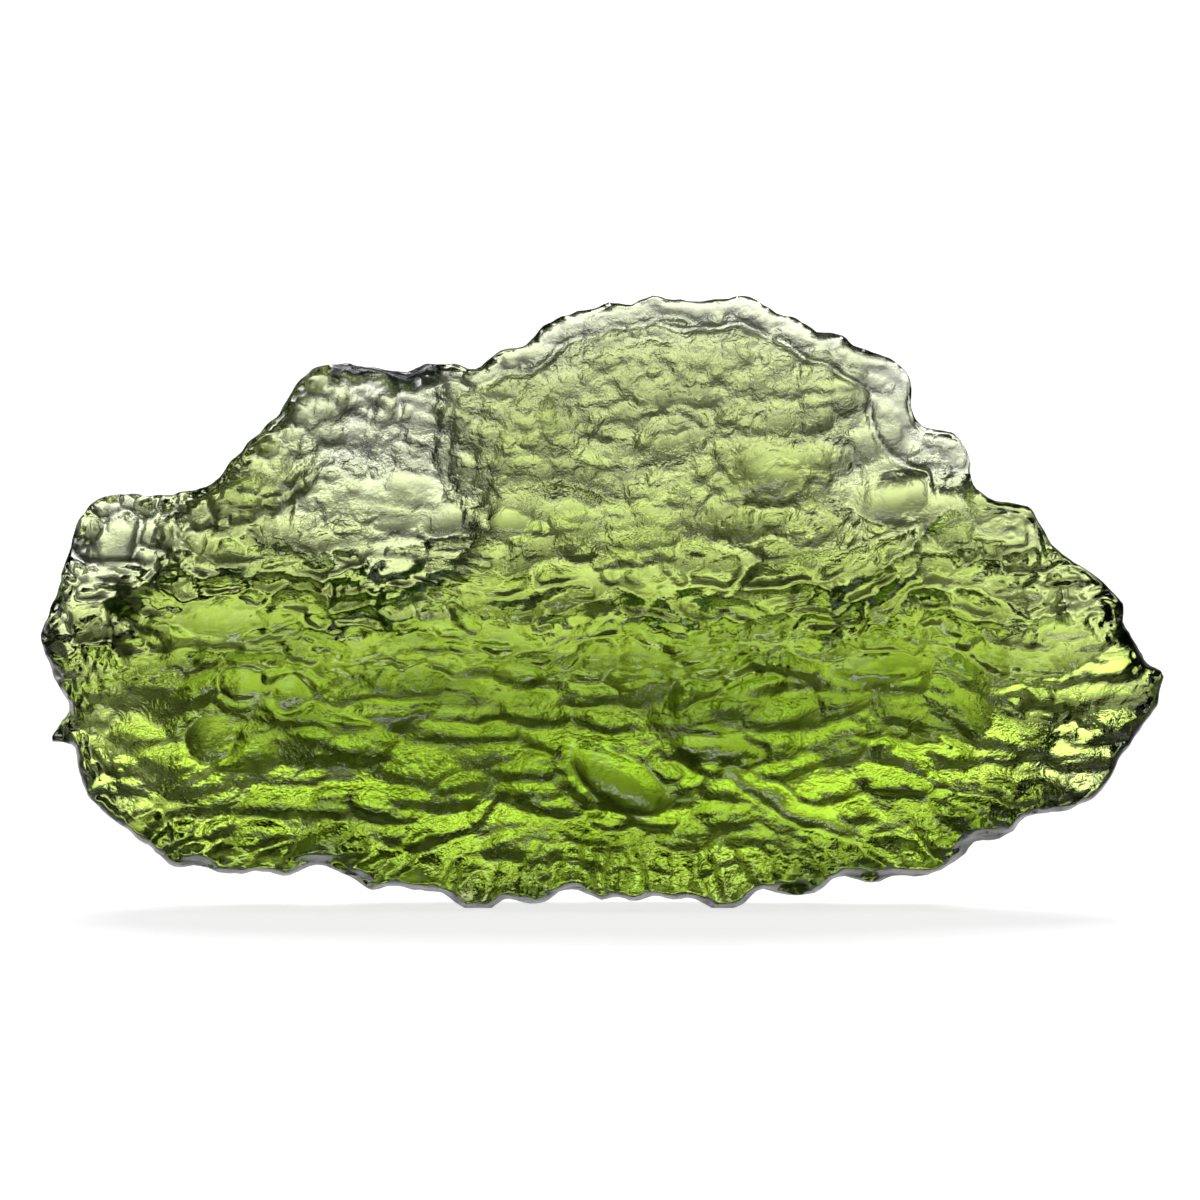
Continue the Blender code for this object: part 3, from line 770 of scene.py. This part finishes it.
world = bpy.data.worlds.new("studio")
bpy.context.scene.world = world
world.use_nodes = True
sky = world.node_tree
direction = sky.nodes.new("ShaderNodeTexCoord")
parts = sky.nodes.new("ShaderNodeSeparateXYZ")
sky.links.new(direction.outputs["Generated"], parts.inputs["Vector"])
height_share = sky.nodes.new("ShaderNodeMapRange")
height_share.inputs["From Min"].default_value = -1.0
sky.links.new(parts.outputs["Z"], height_share.inputs["Value"])
curve = sky.nodes.new("ShaderNodeValToRGB")
while len(curve.color_ramp.elements) < len(SCREEN):
    curve.color_ramp.elements.new(0.5)
brightest = max(glow for _, glow in SCREEN)
for stop, (sine, glow) in zip(curve.color_ramp.elements, SCREEN):
    stop.position = (sine + 1.0) / 2.0
    stop.color = (glow / brightest, glow / brightest, glow / brightest, 1.0)
sky.links.new(height_share.outputs["Result"], curve.inputs["Fac"])
behind = wire_fade(sky, parts.outputs["Y"], 0.0, 0.4, 0.0, brightest)
screen = wire_math(sky, "MULTIPLY", behind, curve.outputs["Color"])
left_end = wire_fade(sky, parts.outputs["X"], SCREEN_ENDS[0], SCREEN_ENDS[1], LEFT_SHARE, 1.0)
right_end = wire_fade(sky, parts.outputs["X"], SCREEN_ENDS[2], SCREEN_ENDS[3], 1.0, RIGHT_SHARE)
screen = wire_math(sky, "MULTIPLY", wire_math(sky, "MULTIPLY", screen, left_end), right_end)
in_front = wire_fade(sky, parts.outputs["Y"], *GLINT_FRONT, 0.0, GLINT_GLOW)
glint_top = wire_fade(sky, parts.outputs["Z"], *GLINT_TOP, 0.0, 1.0)
glint_foot = wire_fade(sky, parts.outputs["Z"], *GLINT_FOOT, 0.0, 1.0)
glint = wire_math(sky, "MULTIPLY", wire_math(sky, "MULTIPLY", in_front, glint_top), glint_foot)
overhead = wire_fade(sky, parts.outputs["Z"], OVERHEAD_FROM, OVERHEAD_FULL, DARK_GLOW, OVERHEAD_GLOW)
for axis, *fade in (("Y", 0.1, 0.3, 1.0, 0.0), ("X", -0.4, -0.2, 0.0, 1.0), ("X", 0.2, 0.4, 1.0, 0.0)):
    overhead = wire_math(sky, "MULTIPLY", overhead, wire_fade(sky, parts.outputs[axis], *fade))
light = wire_math(sky, "ADD", wire_math(sky, "ADD", screen, glint), overhead)
looked_at = sky.nodes.new("ShaderNodeLightPath")
strength = sky.nodes.new("ShaderNodeMix")
strength.data_type = "FLOAT"
sky.links.new(looked_at.outputs["Is Camera Ray"], strength.inputs["Factor"])
sky.links.new(light, strength.inputs["A"])
strength.inputs["B"].default_value = BACKDROP_GLOW
backdrop = sky.nodes["Background"]
backdrop.inputs["Color"].default_value = (1.0, 1.0, 1.0, 1.0)
sky.links.new(strength.outputs["Result"], backdrop.inputs["Strength"])

# %% [markdown]
# A broad lamp high behind the stone lights the floor alone, so that the stone's soft shadow falls
# towards the viewer.

# %% Lamp
# The height above the horizon and the spread are in degrees.
LAMP_HEIGHT = 38.0
LAMP_SPREAD = 34.0
LAMP_STRENGTH = 2.2

lamp_data = bpy.data.lights.new("lamp", "SUN")
lamp_data.energy = LAMP_STRENGTH
lamp_data.angle = math.radians(LAMP_SPREAD)
lamp = bpy.data.objects.new("lamp", lamp_data)
bpy.context.scene.collection.objects.link(lamp)
lamp.rotation_euler = (math.radians(LAMP_HEIGHT - 90.0), 0.0, 0.0)
lamp.visible_glossy = False
lamp.visible_transmission = False

# %% Camera
LENS_DISTANCE = 0.6
FRAME_WIDTH = 0.0560
LOOK_AT = (-0.00008, 0.0, 0.0143)
CAMERA_RISE = 2.3
SENSOR = 36.0

camera_data = bpy.data.cameras.new("camera")
camera = bpy.data.objects.new("camera", camera_data)
bpy.context.scene.collection.objects.link(camera)
camera_data.sensor_width = SENSOR
camera_data.lens = SENSOR * LENS_DISTANCE / FRAME_WIDTH
rise = math.radians(CAMERA_RISE)
away = Vector((0.0, -math.cos(rise), math.sin(rise)))
camera.location = Vector(LOOK_AT) + away * LENS_DISTANCE
camera.rotation_euler = (math.pi / 2.0 - rise, 0.0, 0.0)
camera_data.clip_start = 0.01
bpy.context.scene.camera = camera
bpy.context.scene.view_settings.view_transform = "Standard"
bpy.context.scene.cycles.max_bounces = 24
bpy.context.scene.cycles.transmission_bounces = 20
